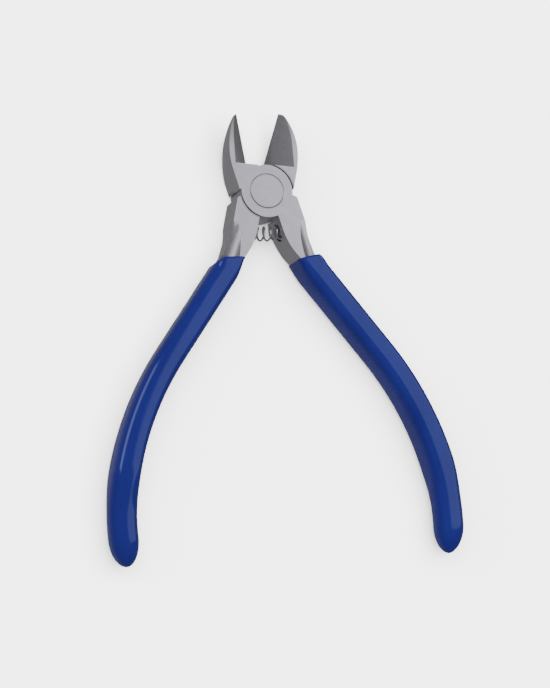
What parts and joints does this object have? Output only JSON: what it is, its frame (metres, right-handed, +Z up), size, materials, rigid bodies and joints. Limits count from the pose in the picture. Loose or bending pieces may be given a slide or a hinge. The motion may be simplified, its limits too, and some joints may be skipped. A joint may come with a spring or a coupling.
{
  "type": "flush cut pliers",
  "caption": "Small flush cutting pliers with a lap joint, a coil return spring and dipped plastic grips, standing open.",
  "frame": {"origin": "on the pivot axis, at the lower face of the lap joint and of the rivet", "axes": "+Z up along the pivot axis, out of the upper face; +Y from the pivot to the jaw tips; +X to the right seen from above"},
  "size_m": [0.0988, 0.1214, 0.011],
  "materials": {
    "tool_steel": "satin, finely ground",
    "rivet_steel": "satin, ground flush",
    "spring_wire": "drawn wire, oiled",
    "dipped_vinyl": "glossy dip coating"
  },
  "bodies": {
    "front": {"front_half": "tool_steel", "pivot_rivet": "rivet_steel", "return_spring": "spring_wire", "right_grip": "dipped_vinyl"},
    "back": {"back_half": "tool_steel", "left_grip": "dipped_vinyl"}
  },
  "joints": [
    {"name": "handle_pivot", "type": "hinge", "parent": "front", "child": "back", "pos_m": [0, 0, 0], "axis": [0, 0, 1], "range_deg": [-13, 30], "stiffness_Nm_per_rad": 0.35, "deforming": ["return_spring"]}
  ]
}
